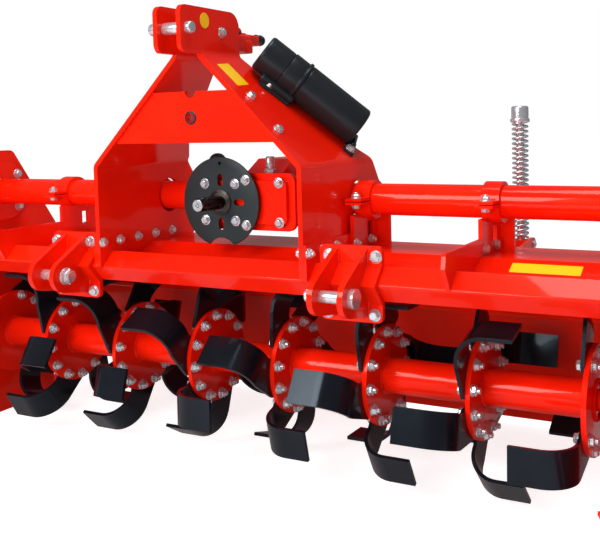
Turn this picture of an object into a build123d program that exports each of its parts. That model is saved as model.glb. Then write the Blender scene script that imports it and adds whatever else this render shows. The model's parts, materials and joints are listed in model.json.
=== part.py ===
from build123d import *
import math
import os

os.makedirs("parts", exist_ok=True)

# A rotary tiller for a tractor's three-point hitch, in millimetres. +Z is up, the tractor stands on
# the -Y side and +X is its left-hand side. The ground is Z = 0. Values called "ahead", "behind" and
# "above" are measured from the rotor's axis, X from the middle of the frame; the helper planes
# below put drawings made in these values into place. "side" is -1 for left and 1 for right.

# rotor: a tube with flanges for the tines and a stub shaft at each end
flange_count = 8
flange_pitch = 260.0
flange_radius = 127.0
flange_thick = 12.0
flange_turn = 15.0            # each flange is turned this far past the last, in degrees
bolt_circle = 111.5
bolt_spread = 30.0            # from one tine bolt to the next, in degrees
drum_radius = 44.5
stub_radius = 25.0
stub_room = 15.0              # round a stub shaft where it passes the end plate
stub_end_gap = 1.0            # from a stub shaft's end to the bottom of its bore
turn_clear = 0.05             # between a shaft and its bearing

# tines: a strip bolted flat to the flange and bent out into a wing over the ground
tines_per_flange = 6
tip_radius = 252.0            # of the wing's leading corner
heel_radius = 216.0           # of its trailing corner
tip_lag = 18.3                # from one corner to the other, in degrees
first_tip = 108.5             # where the first tine of the first flange points
tine_thick = 9.0
tine_reach = 133.5            # of the wing, from the middle of the shank's thickness
tine_bend = 72.0              # outer radius of the bend
shank_deep = 84.0             # of the even strip, inwards from the wing's outer face
root_margin = 18.0            # of steel round each bolt

# end plates and the cross tubes between them and the gearbox
ground_gap = 23.0             # under the tine tips, when the skids carry the machine
side_gap = 66.0               # from the last flange's middle to the end plate's inner face
end_thick = 10.0
end_corner = 24.0             # radius of an end plate's corners
end_over_tube = 130.0         # from the tube's middle up to the top edge
end_top_ahead = 40.0
end_top_behind = 79.0
end_bend_behind = 334.0       # where the rear edge turns down
end_bend_above = 198.0
end_behind = 346.0
end_low_below = 190.0
end_foot_behind = 230.0
end_foot_ahead = 190.0
end_ahead = 275.0
end_chin_below = 63.0         # where the front edge turns back
tube_radius = 40.0
tube_wall = 6.0
tube_behind = 30.0
tube_over_deck = 122.0
tube_flange_radius = 95.0
tube_flange_thick = 12.0

# front beam: a closed folded box with a nose
nose_ahead = 255.0
nose_above = 277.0
nose_deep = 38.0              # from the creases out to the nose
lower_edge_above = 235.0
valley_ahead = 112.0          # where the beam's top meets the hood's bevel
valley_above = 290.0
beam_wall = 8.0
beam_fold = 5.0               # outer radius of its folds
tine_room = 20.0              # kept free outside the tine tips

# hood: a bevel up from the beam, a flat deck, and a roll down behind the rotor
sheet_thick = 5.0
hood_top = 320.0
bevel_ahead = 50.0
hood_flat_end = 118.0
hood_roll = 212.0

# mast: two plates, upright on the deck, leaning inwards above the tubes, upright again at the top pin
mast_thick = 12.0
mast_half = 309.0             # to the outer face of a plate at the deck
mast_top_half = 40.0          # to the same face at the top pin
mast_fold = 24.0              # outer radius of its folds
mast_low_bend = 541.0
mast_height = 609.0           # from the lower pins up to the top pin
pin_over_bend = 57.0
head_over_pin = 53.0
mast_ahead = 262.0
mast_behind = 155.0
mast_heel_behind = 135.0
mast_rear_edge = (            # behind, over the low bend
    (46.0, 57.0),
    (108.0, 8.0),
)
head_ahead = 335.0
head_rear_ahead = 95.0
head_corner = 20.0
head_rear_corner = 38.0
tube_hole_room = 8.0          # round a cross tube where it passes the plate
top_pin_ahead = 308.0
top_pin_radius = 12.5
top_pin_over = 14.0           # beyond each plate
cross_inset = 8.0             # of the cross plate behind the mast's front edge
cross_bottom_over = 55.0      # these three over the low bend
cross_top_over = 180.0
cross_hole_over = 116.0
cross_hole_radius = 12.5
cross_notch_radius = 16.0
foot_thick = 8.0
foot_tall = 40.0              # of the feet and gussets, over the deck
foot_behind = 62.0
rear_block_behind = 20.0      # the block that holds the two heads apart
rear_block_ahead = 140.0
rear_block_tall = 62.0
rear_block_below = 14.0       # its middle, below the top pin
rear_block_corner = 10.0

# clamps that carry the cross tubes on the deck
outer_clamp = 651.0           # to the inner face of its leg
clamp_wide = 44.0
collar_thick = 9.0
leg_thick = 10.0
leg_ahead = 38.0
leg_behind = 115.0
leg_under_tube = 36.0         # from the tube's middle down to the leg's top
window_front = 45.0
window_rear = 76.0
window_tall = 40.0
ear_reach = 95.0              # from the tube's middle forwards
ear_half_tall = 8.0
ear_slit = 2.0
gusset_thick = 10.0
gusset_ahead = 285.0
gusset_nose_tall = 8.0        # of its front edge's foot, over the deck
gusset_rake = 8.0

# lower hitch: a folded plate over the beam's nose with two lugs and a pin, on each side
lower_pin_half = 412.5
lower_pin_ahead = 315.0
lower_pin_above = 258.0
lower_pin_radius = 14.0
pin_head_radius = 22.0
pin_head_thick = 13.0
pin_tail = 22.0               # inside the inner lug, for a washer and a nut
lug_radius = 43.0
lug_gap = 60.0
lug_thick = 14.0
lug_corner = 7.0
bracket_gap = 17.0            # from a mast foot to the bracket
bracket_past_pin = 78.5       # from the pin's middle to the bracket's outer edge
bracket_thick = 12.0
bracket_top_above = 361.0
bracket_low_above = 187.0
bracket_corner = 14.0

# gearbox, its cover and flanges, the drive shaft's guard and the input shaft
box_left = 100.0
box_right = 195.0
box_half_tall = 65.0
box_corner = 14.0
box_front = 100.0
box_back = 140.0
cover_thick = 12.0
cover_lip = 8.0
panel_inset = 18.0
panel_thick = 13.0
hump_left = 30.0              # a raised part of its top, over the gears
hump_right = 140.0
hump_ahead = 75.0
hump_behind = 125.0
hump_tall = 40.0
hump_slope = 70.0             # length of its sloping front
side_neck_radius = 80.0
side_neck_long = 22.0
side_flange_radius = 102.0
side_flange_thick = 18.0
seal_radius = 27.0
guard_radius = 115.0
guard_thick = 5.0
guard_gap = 12.0
guard_hole_radius = 32.0
guard_slot_ring = 56.0
guard_slot_long = 31.0
guard_slot_wide = 15.0
guard_notch_radius = 48.0
guard_notch_below = 139.0
guard_post_ring = 66.0
guard_post_radius = 9.0
shaft_radius = 17.5
shaft_reach = 239.0
spline_count = 6
spline_slot_wide = 9.6
spline_slot_deep = 3.0
spline_long = 78.0
lock_groove_from_end = 24.0
lock_groove_wide = 7.0
shaft_chamfer = 2.5
centre_hole_radius = 4.0
centre_hole_deep = 9.0

# side gear case on the left end, bearing on the right end, and a skid under each
case_thick = 60.0
case_lid_thick = 8.0
case_lid_inset = 14.0
case_top_radius = 95.0
case_low_radius = 120.0
bearing_radius = 85.0
bearing_flange_thick = 12.0
hub_radius = 55.0
bearing_thick = 34.0
skid_thick = 8.0
skid_wide = 60.0
skid_ahead = 367.0
skid_tip_below = 100.0
skid_sole_ahead = 134.0
skid_sole_behind = 230.0
skid_tail_behind = 310.0
skid_tail_rise = 44.0
skid_web_ahead = 194.0
skid_web_below = 130.0        # its top edge

# trailing board, its hinges, and the spring rods that press it down
board_hinge_behind = 344.0
board_hinge_above = 100.0
board_long = 380.0
board_slope = 65.0
board_lip = 25.0
board_end_gap = 10.0
board_pin_radius = 10.0
hinge_thick = 20.0
hinge_end_gap = 60.0
hinge_room = 5.0              # beside and round a hinge bracket, in the board
hinge_eye_radius = 20.0
hinge_root = (11.0, 29.0)     # where it meets the hood's roll, in degrees up from level
rod_half = 629.0
rod_radius = 11.0
rod_top_above = 672.0
rod_cap_radius = 18.5
rod_cap_tall = 32.0
rod_cap_chamfer = 7.0
collar_tall = 7.0
spring_radius = 18.0
spring_wire = 6.0
guide_above = 290.0
guide_wide = 50.0
guide_deep = 40.0
guide_half_tall = 12.0
guide_pin_radius = 8.0
guide_clear = 0.5
pivot_clear = 0.1
ear_thick = 10.0
rod_ear_gap = 2.0             # between the guide's block and each ear of its bracket
rod_ear_root = (29.0, 61.0)   # where the ears meet the hood's roll, in degrees up from level
eye_along = 75.0
eye_out = 25.0
eye_radius = 19.0
eye_hole = 12.5
eye_thick = 24.0
eye_pin_radius = 8.0
board_ear_gap = 3.0
board_ear_half_long = 17.0

# document canister on the leaning part of the right mast plate
canister_down = 173.0         # its middle, along the slope from the high bend
canister_behind = 2.0
canister_tilt = 27.0          # of its axis from the slope line, in degrees
canister_long = 318.0
canister_radius = 47.0
canister_neck_radius = 42.0   # of the upper part, below the cap
canister_neck_long = 146.0
canister_ring_radius = 49.0
canister_ring_long = 11.0
canister_cap_radius = 45.0
canister_cap_long = 62.0
canister_off = 4.0            # from the mast plate
canister_lug_spread = 240.0
canister_lug_down = 20.0      # middle of the lugs, down from the canister's own middle
canister_lug_wide = 38.0
canister_lug_reach = 78.0
canister_lug_thick = 7.0

# what follows from those
rotor_z = tip_radius + ground_gap
last_flange = (flange_count - 1) * flange_pitch / 2
frame_half = last_flange + side_gap
end_out = frame_half + end_thick
tube_above = hood_top + tube_over_deck
end_top_above = tube_above + end_over_tube
top_pin_above = lower_pin_above + mast_height
mast_high_bend = top_pin_above - pin_over_bend
mast_top_above = top_pin_above + head_over_pin
board_dir = (math.cos(math.radians(board_slope)), -math.sin(math.radians(board_slope)))
front_reach = max(lower_pin_ahead + lug_radius, skid_ahead + skid_thick)
rear_reach = board_hinge_behind + board_long * board_dir[0] - board_lip * board_dir[1]
middle_y = (front_reach - rear_reach) / 2
middle_x = (case_thick - max(bearing_thick, skid_wide)) / 2


def side_plane(x):
    """Plane across the machine at x, with local axes Y and Z from the rotor's axis."""
    return Plane(origin=(middle_x + x, middle_y, rotor_z), x_dir=(0, 1, 0), z_dir=(1, 0, 0))


def front_plane(behind):
    """Plane facing backwards, with local axes -X and Z."""
    return Plane(origin=(middle_x, middle_y + behind, rotor_z), x_dir=(-1, 0, 0), z_dir=(0, 1, 0))


def level_plane(above):
    """Plane facing up, with local axes X and Y."""
    return Plane(origin=(middle_x, middle_y, rotor_z + above))


def on_circle(radius, angle):
    """Point on a circle about the rotor's axis, in a side plane."""
    return (radius * math.cos(math.radians(angle)), radius * math.sin(math.radians(angle)))


def on_board(along, off):
    """Point of the trailing board at rest, from its hinge down its length and off its inner face."""
    return (
        board_hinge_behind + along * board_dir[0] - off * board_dir[1],
        board_hinge_above + along * board_dir[1] + off * board_dir[0],
    )


def on_roll(angle):
    """Point on the outside of the hood's roll, in a side plane."""
    around = on_circle(hood_roll, angle)
    return (roll_middle[0] + around[0], roll_middle[1] + around[1])


def save(builder, name):
    builder.part.label = name
    export_step(builder.part, "parts/" + name + ".step")
    print(name, len(builder.part.solids()), "solids", round(builder.part.volume / 1000), "cm3")


# The beam's section runs from the nose over the upper crease to the valley, then down its back wall,
# which keeps clear of the tine tips, and forwards to the lower crease.
nose = (-nose_ahead, nose_above)
upper_crease = (-nose_ahead + nose_deep, nose_above + nose_deep)
lower_crease = (-nose_ahead + nose_deep, lower_edge_above)
valley = (-valley_ahead, valley_above)
bevel_top = (-bevel_ahead, hood_top)
beam_back_low = (-valley_ahead, math.sqrt((tip_radius + tine_room) ** 2 - valley_ahead ** 2))
beam_floor = (lower_crease[0] + nose_deep, lower_edge_above)
with BuildPart() as front_beam:
    with BuildSketch(side_plane(-frame_half)) as section:
        with BuildLine():
            Polyline(nose, upper_crease, valley, beam_back_low, beam_floor, lower_crease, close=True)
        make_face()
        offset(amount=-beam_wall, kind=Kind.INTERSECTION, mode=Mode.SUBTRACT)
        for fold in (nose, upper_crease, lower_crease):
            fillet(section.vertices().sort_by_distance(fold)[0], beam_fold)
    extrude(amount=2 * frame_half)
save(front_beam, "front_beam")

roll_middle = (hood_flat_end, hood_top - hood_roll)
with BuildPart() as hood:
    with BuildSketch(side_plane(-frame_half)):
        with BuildLine():
            Line(valley, bevel_top)
            Line(bevel_top, (hood_flat_end, hood_top))
            CenterArc(roll_middle, hood_roll, 0, 90)
            offset(amount=sheet_thick, side=Side.RIGHT, kind=Kind.INTERSECTION)
        make_face()
    extrude(amount=2 * frame_half)
save(hood, "hood")

# Outline of an end plate, from the top rear corner clockwise as seen from the right.
end_outline = (
    (end_top_behind, end_top_above),
    (end_bend_behind, end_bend_above),
    (end_behind, 0),
    (end_foot_behind, -end_low_below),
    (-end_foot_ahead, -end_low_below),
    (-end_ahead, -end_chin_below),
    (-end_ahead, nose_above + end_corner),
    (-end_top_ahead, end_top_above),
)
for side, name in ((-1, "end_plate_left"), (1, "end_plate_right")):
    with BuildPart() as end_plate:
        with BuildSketch(side_plane(side * frame_half)) as outline:
            with BuildLine():
                Polyline(*end_outline, close=True)
            make_face()
            fillet(outline.vertices(), end_corner)
            Circle(stub_radius + stub_room, mode=Mode.SUBTRACT)
        extrude(amount=side * end_thick)
    save(end_plate, name)

# Each cross tube is welded to a flange that is bolted to its end plate.
tube_table = (
    (-1, box_left + side_flange_thick, "cross_tube_left"),
    (1, box_right + side_neck_long + side_flange_thick, "cross_tube_right"),
)
for side, start, name in tube_table:
    with BuildPart() as tube:
        with BuildSketch(side_plane(side * start)):
            with Locations((tube_behind, tube_above)):
                Circle(tube_radius)
                Circle(tube_radius - tube_wall, mode=Mode.SUBTRACT)
        extrude(amount=side * (frame_half - start))
        with BuildSketch(side_plane(side * frame_half)):
            with Locations((tube_behind, tube_above)):
                Circle(tube_flange_radius)
                Circle(tube_radius - tube_wall, mode=Mode.SUBTRACT)
        extrude(amount=-side * tube_flange_thick)
    save(tube, name)

# Gearbox: a rounded block with a raised top and a flange towards each cross tube.
box_middle = (-(box_right - box_left) / 2, tube_above)
box_wide = box_left + box_right
box_top = tube_above + box_half_tall
with BuildPart() as gearbox:
    with BuildSketch(front_plane(-box_front)):
        with Locations(box_middle):
            RectangleRounded(box_wide, 2 * box_half_tall, box_corner)
    extrude(amount=box_front + box_back)
    with BuildSketch(side_plane(hump_left)):
        with BuildLine():
            Polyline(
                (-hump_ahead, box_top),
                (-hump_ahead + hump_slope, box_top + hump_tall),
                (hump_behind, box_top + hump_tall),
                (hump_behind, box_top),
                close=True,
            )
        make_face()
    extrude(amount=hump_right - hump_left)
    with BuildSketch(side_plane(-box_left)):
        with Locations((tube_behind, tube_above)):
            Circle(side_neck_radius)
    extrude(amount=-side_flange_thick)
    with BuildSketch(side_plane(box_right)):
        with Locations((tube_behind, tube_above)):
            Circle(side_neck_radius)
    extrude(amount=side_neck_long)
save(gearbox, "gearbox")

with BuildPart() as side_flange:
    with BuildSketch(side_plane(box_right + side_neck_long)):
        with Locations((tube_behind, tube_above)):
            Circle(side_flange_radius)
    extrude(amount=side_flange_thick)
save(side_flange, "gearbox_side_flange")

with BuildPart() as gearbox_cover:
    with BuildSketch(front_plane(-box_front)):
        with Locations(box_middle):
            RectangleRounded(box_wide + 2 * cover_lip, 2 * (box_half_tall + cover_lip),
                             box_corner + cover_lip)
        with Locations((0, tube_above)):
            Circle(seal_radius, mode=Mode.SUBTRACT)
    extrude(amount=-cover_thick)
    with BuildSketch(front_plane(-box_front - cover_thick)):
        with Locations(box_middle):
            RectangleRounded(box_wide + 2 * cover_lip - 2 * panel_inset,
                             2 * (box_half_tall + cover_lip - panel_inset), box_corner)
        with Locations((0, tube_above)):
            Circle(seal_radius, mode=Mode.SUBTRACT)
    extrude(amount=-panel_thick)
save(gearbox_cover, "gearbox_cover")

# The guard is a slotted disc on four posts, notched below for the drive shaft's chain.
cover_face = -box_front - cover_thick - panel_thick
guard_face = cover_face - guard_gap
with BuildPart() as guard:
    with BuildSketch(front_plane(guard_face)):
        with Locations((0, tube_above)):
            Circle(guard_radius)
            Circle(guard_hole_radius, mode=Mode.SUBTRACT)
            with PolarLocations(guard_slot_ring, 4):
                SlotOverall(guard_slot_long, guard_slot_wide, rotation=90, mode=Mode.SUBTRACT)
        with Locations((0, tube_above - guard_notch_below)):
            Circle(guard_notch_radius, mode=Mode.SUBTRACT)
    extrude(amount=-guard_thick)
    with BuildSketch(front_plane(guard_face)):
        with Locations((0, tube_above)):
            with PolarLocations(guard_post_ring, 4, start_angle=45):
                Circle(guard_post_radius)
    extrude(amount=guard_gap)
save(guard, "guard_plate")

with BuildPart() as input_seal:
    with BuildSketch(front_plane(-box_front)):
        with Locations((0, tube_above)):
            Circle(seal_radius)
            Circle(shaft_radius + turn_clear, mode=Mode.SUBTRACT)
    extrude(amount=guard_face - guard_thick + box_front)
save(input_seal, "input_seal")

# Input shaft: six splines, a groove for the coupling's lock, and a centre hole.
with BuildPart() as input_shaft:
    with BuildSketch(front_plane(-shaft_reach)):
        with Locations((0, tube_above)):
            Circle(shaft_radius)
    extrude(amount=shaft_reach - box_front)
    chamfer(input_shaft.edges().group_by(Axis.Y)[0], shaft_chamfer)
    with BuildSketch(front_plane(-shaft_reach)):
        with Locations((0, tube_above)):
            with PolarLocations(shaft_radius, spline_count, start_angle=90):
                Rectangle(2 * spline_slot_deep, spline_slot_wide)
    extrude(amount=spline_long, mode=Mode.SUBTRACT)
    with BuildSketch(front_plane(-shaft_reach + lock_groove_from_end)):
        with Locations((0, tube_above)):
            Circle(shaft_radius)
            Circle(shaft_radius - spline_slot_deep, mode=Mode.SUBTRACT)
    extrude(amount=lock_groove_wide, mode=Mode.SUBTRACT)
    with BuildSketch(front_plane(-shaft_reach)):
        with Locations((0, tube_above)):
            Circle(centre_hole_radius)
    extrude(amount=centre_hole_deep, mode=Mode.SUBTRACT)
save(input_shaft, "input_shaft")

# Mast plates: the folded strip seen from the front, cut to its outline seen from the side. Its foot
# follows the beam and the deck.
lean = math.atan2(mast_half - mast_top_half, mast_high_bend - mast_low_bend)
beam_seat = (bevel_top, valley, upper_crease, nose)
mast_outline = (
    (-mast_ahead, nose_above),
    (-mast_ahead, mast_high_bend),
    (-head_ahead, mast_high_bend),
    (-head_ahead, mast_top_above),
    (-head_rear_ahead, mast_top_above),
    (-head_rear_ahead, mast_high_bend),
    *((behind, mast_low_bend + over) for behind, over in mast_rear_edge),
    (mast_behind, tube_above + tube_radius),
    (mast_heel_behind, hood_top),
)
head_front_corners = ((-head_ahead, mast_high_bend), (-head_ahead, mast_top_above))
for side, bent, name in ((-1, Side.LEFT, "mast_plate_left"), (1, Side.RIGHT, "mast_plate_right")):
    with BuildPart() as mast_plate:
        with BuildSketch(front_plane(-head_ahead)):
            with BuildLine():
                FilletPolyline(
                    (-side * mast_half, nose_above),
                    (-side * mast_half, mast_low_bend),
                    (-side * mast_top_half, mast_high_bend),
                    (-side * mast_top_half, mast_top_above),
                    radius=mast_fold,
                )
                offset(amount=mast_thick, side=bent)
            make_face()
        extrude(amount=head_ahead + mast_behind)
        with BuildSketch(side_plane(-mast_half)) as outline:
            with BuildLine():
                Polyline(*mast_outline, *beam_seat, close=True)
            make_face()
            for corner in head_front_corners:
                fillet(outline.vertices().sort_by_distance(corner)[0], head_corner)
            rear_corner = (-head_rear_ahead, mast_top_above)
            fillet(outline.vertices().sort_by_distance(rear_corner)[0], head_rear_corner)
            with Locations((tube_behind, tube_above)):
                Circle(tube_radius + tube_hole_room, mode=Mode.SUBTRACT)
            with Locations((-top_pin_ahead, top_pin_above)):
                Circle(top_pin_radius, mode=Mode.SUBTRACT)
        extrude(amount=2 * mast_half, mode=Mode.INTERSECT)
    save(mast_plate, name)

with BuildPart() as top_pin:
    with BuildSketch(side_plane(-mast_top_half - top_pin_over)):
        with Locations((-top_pin_ahead, top_pin_above)):
            Circle(top_pin_radius)
    extrude(amount=2 * (mast_top_half + top_pin_over))
save(top_pin, "top_link_pin")

# Block between the two heads, behind the room for the tractor's top link.
with BuildPart() as rear_block:
    with BuildSketch(side_plane(-mast_top_half + mast_thick)):
        with Locations((-rear_block_ahead, top_pin_above - rear_block_below)):
            RectangleRounded(rear_block_ahead + rear_block_behind, rear_block_tall, rear_block_corner,
                             align=(Align.MIN, Align.CENTER))
    extrude(amount=2 * (mast_top_half - mast_thick))
save(rear_block, "mast_rear_block")


def inner_half_at(over):
    """Half the room between the leaning plates, this far over the low bend."""
    return mast_half - over * math.tan(lean) - mast_thick / math.cos(lean)


with BuildPart() as cross_plate:
    with BuildSketch(front_plane(-mast_ahead + cross_inset)):
        with BuildLine():
            Polyline(
                (-inner_half_at(cross_bottom_over), mast_low_bend + cross_bottom_over),
                (inner_half_at(cross_bottom_over), mast_low_bend + cross_bottom_over),
                (inner_half_at(cross_top_over), mast_low_bend + cross_top_over),
                (-inner_half_at(cross_top_over), mast_low_bend + cross_top_over),
                close=True,
            )
        make_face()
        with Locations((0, mast_low_bend + cross_top_over)):
            Circle(cross_notch_radius, mode=Mode.SUBTRACT)
        with Locations((0, mast_low_bend + cross_hole_over)):
            Circle(cross_hole_radius, mode=Mode.SUBTRACT)
    extrude(amount=mast_thick)
save(cross_plate, "mast_cross_plate")

# Feet: upright strips on the beam and deck, which the mast plates are bolted to.
with BuildPart() as mast_feet:
    for side in (-1, 1):
        with BuildSketch(side_plane(side * mast_half)):
            with BuildLine():
                Polyline(
                    (-mast_ahead, nose_above),
                    (-mast_ahead, hood_top + foot_tall),
                    (foot_behind, hood_top + foot_tall),
                    (foot_behind, hood_top),
                    *beam_seat,
                    close=True,
                )
            make_face()
        extrude(amount=side * foot_thick)
save(mast_feet, "mast_feet")

# Clamps: a split collar with a bolted ear in front, on an angle-shaped leg with a window.
tube_place = (tube_behind, tube_above)
leg_top = tube_above - leg_under_tube
inner_clamp = mast_half + foot_thick
with BuildPart() as clamps:
    for side in (-1, 1):
        for leg_inside in (inner_clamp, outer_clamp):
            with BuildSketch(side_plane(side * leg_inside)):
                with Locations(tube_place):
                    Circle(tube_radius + collar_thick)
                    Rectangle(ear_reach, 2 * ear_half_tall, align=(Align.MAX, Align.CENTER))
                    Rectangle(ear_reach, ear_slit, align=(Align.MAX, Align.CENTER), mode=Mode.SUBTRACT)
                    Circle(tube_radius, mode=Mode.SUBTRACT)
            extrude(amount=side * clamp_wide)
            with BuildSketch(side_plane(side * leg_inside)):
                with Locations((-leg_ahead, hood_top)):
                    Rectangle(leg_ahead + leg_behind, leg_top - hood_top, align=(Align.MIN, Align.MIN))
                with Locations(((window_front + window_rear) / 2, (leg_top + hood_top) / 2)):
                    Rectangle(window_rear - window_front, window_tall, mode=Mode.SUBTRACT)
                with Locations(tube_place):
                    Circle(tube_radius, mode=Mode.SUBTRACT)
            extrude(amount=side * leg_thick)
            with BuildSketch(side_plane(side * leg_inside)):
                with Locations((leg_behind, hood_top)):
                    Rectangle(leg_thick, leg_top - hood_top, align=(Align.MAX, Align.MIN))
            extrude(amount=side * clamp_wide)
save(clamps, "tube_clamps")

# Gussets: each carries on from an outer leg over the beam to the nose.
with BuildPart() as gussets:
    for side in (-1, 1):
        with BuildSketch(side_plane(side * outer_clamp)) as outline:
            with BuildLine():
                Polyline(
                    (-gusset_ahead, hood_top + gusset_nose_tall),
                    (-gusset_ahead + gusset_rake, hood_top + foot_tall),
                    (-leg_ahead, hood_top + foot_tall),
                    (-leg_ahead, hood_top),
                    *beam_seat,
                    close=True,
                )
            make_face()
            front_corner = (-gusset_ahead + gusset_rake, hood_top + foot_tall)
            fillet(outline.vertices().sort_by_distance(front_corner)[0], gusset_thick)
        extrude(amount=side * gusset_thick)
save(gussets, "gussets")

# Lower hitch brackets. The plate wraps the beam's nose, and each lug stands off it round the pin.
bracket_path = (
    (upper_crease[0], bracket_top_above),
    upper_crease,
    nose,
    lower_crease,
    (lower_crease[0], bracket_low_above),
)
bracket_tall = bracket_top_above - bracket_low_above
bracket_inside = mast_half + foot_thick + bracket_gap
bracket_wide = lower_pin_half + bracket_past_pin - bracket_inside
plate_front = upper_crease[0] - bracket_thick
for side, name in ((-1, "hitch_bracket_left"), (1, "hitch_bracket_right")):
    with BuildPart() as bracket:
        with BuildSketch(side_plane(side * bracket_inside)):
            with BuildLine():
                Polyline(*bracket_path)
                offset(amount=bracket_thick, side=Side.RIGHT, kind=Kind.INTERSECTION)
            make_face()
        extrude(amount=side * bracket_wide)
        with BuildSketch(front_plane(-nose_ahead - nose_deep)):
            with Locations((-side * (bracket_inside + bracket_wide / 2), bracket_low_above)):
                RectangleRounded(bracket_wide, bracket_tall, bracket_corner,
                                 align=(Align.CENTER, Align.MIN))
        extrude(amount=nose_ahead + nose_deep, mode=Mode.INTERSECT)
        for lug_side in (-1, 1):
            with BuildSketch(side_plane(side * lower_pin_half + lug_side * lug_gap / 2)):
                with Locations((-lower_pin_ahead, lower_pin_above)):
                    Circle(lug_radius)
                with Locations(
                    (plate_front, bracket_top_above - 2 * lug_corner),
                    (plate_front, lower_pin_above - lug_radius - lug_corner),
                ):
                    Circle(lug_corner)
                make_hull()
                with BuildLine():
                    Polyline(upper_crease, nose, lower_crease, close=True)
                make_face(mode=Mode.SUBTRACT)
                with Locations((-lower_pin_ahead, lower_pin_above)):
                    Circle(lower_pin_radius, mode=Mode.SUBTRACT)
            extrude(amount=lug_side * lug_thick)
    save(bracket, name)

lug_out = lug_gap / 2 + lug_thick
with BuildPart() as hitch_pins:
    for side in (-1, 1):
        with BuildSketch(side_plane(side * (lower_pin_half + lug_out + pin_head_thick))):
            with Locations((-lower_pin_ahead, lower_pin_above)):
                Circle(lower_pin_radius)
        extrude(amount=-side * (2 * lug_out + pin_head_thick + pin_tail))
        with BuildSketch(side_plane(side * (lower_pin_half + lug_out))):
            with Locations((-lower_pin_ahead, lower_pin_above)):
                Circle(pin_head_radius)
        extrude(amount=side * pin_head_thick)
save(hitch_pins, "hitch_pins")

# Side gear case: a drop case from the cross tube down to the rotor, with a lid.
with BuildPart() as gear_case:
    with BuildSketch(side_plane(-end_out)):
        with Locations(tube_place):
            Circle(case_top_radius)
        Circle(case_low_radius)
        make_hull()
        Circle(stub_radius + turn_clear, mode=Mode.SUBTRACT)
    extrude(amount=-case_thick + case_lid_thick)
    with BuildSketch(side_plane(-end_out - case_thick + case_lid_thick)):
        with Locations(tube_place):
            Circle(case_top_radius - case_lid_inset)
        Circle(case_low_radius - case_lid_inset)
        make_hull()
    extrude(amount=-case_lid_thick)
save(gear_case, "side_gear_case")

with BuildPart() as bearing:
    with BuildSketch(side_plane(end_out)):
        Circle(bearing_radius)
    extrude(amount=bearing_flange_thick)
    with BuildSketch(side_plane(end_out + bearing_flange_thick)):
        Circle(hub_radius)
    extrude(amount=bearing_thick - bearing_flange_thick)
    with BuildSketch(side_plane(end_out)):
        Circle(stub_radius + turn_clear)
    extrude(amount=bearing_thick - bearing_flange_thick, mode=Mode.SUBTRACT)
save(bearing, "rotor_bearing")

# Skids: a runner turned up at both ends, with an upright web on the end plate.
with BuildPart() as skids:
    for side in (-1, 1):
        with BuildSketch(side_plane(side * end_out)):
            with BuildLine():
                Polyline(
                    (-skid_ahead, -skid_tip_below),
                    (-skid_sole_ahead, -rotor_z),
                    (skid_sole_behind, -rotor_z),
                    (skid_tail_behind, -rotor_z + skid_tail_rise),
                )
                offset(amount=skid_thick, side=Side.LEFT, kind=Kind.INTERSECTION)
            make_face()
        extrude(amount=side * skid_wide)
        with BuildSketch(side_plane(side * end_out)):
            with BuildLine():
                Polyline(
                    (-skid_web_ahead, -skid_web_below),
                    (-skid_sole_ahead + skid_thick, -rotor_z + skid_thick),
                    (skid_sole_behind - skid_thick, -rotor_z + skid_thick),
                    (skid_sole_behind, -skid_web_below),
                    close=True,
                )
            make_face()
        extrude(amount=side * skid_thick)
save(skids, "skids")

# Rotor weldment: tube, flanges and stub shafts.
case_bore = case_thick - case_lid_thick
bearing_bore = bearing_thick - bearing_flange_thick
with BuildPart() as drum:
    with BuildSketch(side_plane(-last_flange)):
        Circle(drum_radius)
    extrude(amount=2 * last_flange)
    for i in range(flange_count):
        with BuildSketch(side_plane(-last_flange + i * flange_pitch - flange_thick / 2)):
            Circle(flange_radius)
        extrude(amount=flange_thick)
    for side, bore in ((-1, case_bore), (1, bearing_bore)):
        with BuildSketch(side_plane(side * last_flange)):
            Circle(stub_radius)
        extrude(amount=side * (side_gap + end_thick + bore - stub_end_gap))
save(drum, "rotor_drum")

# Tines. Every shank lies on the flange's left face. Even tines bend left and odd ones right, past
# the rim. The end flanges leave out the tines that would bend outwards.
for i in range(flange_count):
    flange_face = -last_flange + i * flange_pitch - flange_thick / 2
    with BuildPart() as tines:
        for k in range(tines_per_flange):
            bend = -1 if k % 2 == 0 else 1
            if (i, bend) in ((0, -1), (flange_count - 1, 1)):
                continue
            tip_angle = first_tip + i * flange_turn + k * 360 / tines_per_flange
            tip = Vector(0, *on_circle(tip_radius, tip_angle))
            heel = Vector(0, *on_circle(heel_radius, tip_angle - tip_lag))
            along = (tip - heel).normalized()
            inward = Vector(0, -along.Z, along.Y)
            place = Vector(middle_x + flange_face, middle_y, rotor_z)
            wing_plane = Plane(origin=place + heel, x_dir=(1, 0, 0), z_dir=along)
            outer_face = 0 if bend == -1 else -tine_thick
            wing_end = -tine_thick / 2 + bend * tine_reach
            with BuildSketch(wing_plane):
                with BuildLine():
                    FilletPolyline((outer_face, -shank_deep), (outer_face, 0), (wing_end, 0),
                                   radius=tine_bend)
                    offset(amount=tine_thick, side=Side.LEFT if bend == -1 else Side.RIGHT)
                make_face()
            extrude(amount=(tip - heel).length)
            tip_root = tip + inward * shank_deep
            heel_root = heel + inward * shank_deep
            near_bolt = tip_angle - math.degrees(root_margin / bolt_circle)
            far_bolt = tip_angle + bolt_spread + math.degrees(root_margin / bolt_circle)
            with BuildSketch(side_plane(flange_face)):
                with BuildLine():
                    Polyline(
                        (heel_root.Y, heel_root.Z),
                        (tip_root.Y, tip_root.Z),
                        on_circle(bolt_circle + root_margin, far_bolt),
                        on_circle(bolt_circle - root_margin, far_bolt),
                        on_circle(bolt_circle - root_margin, near_bolt),
                        close=True,
                    )
                make_face()
            extrude(amount=-tine_thick)
    save(tines, "tines_" + str(i + 1))

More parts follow.
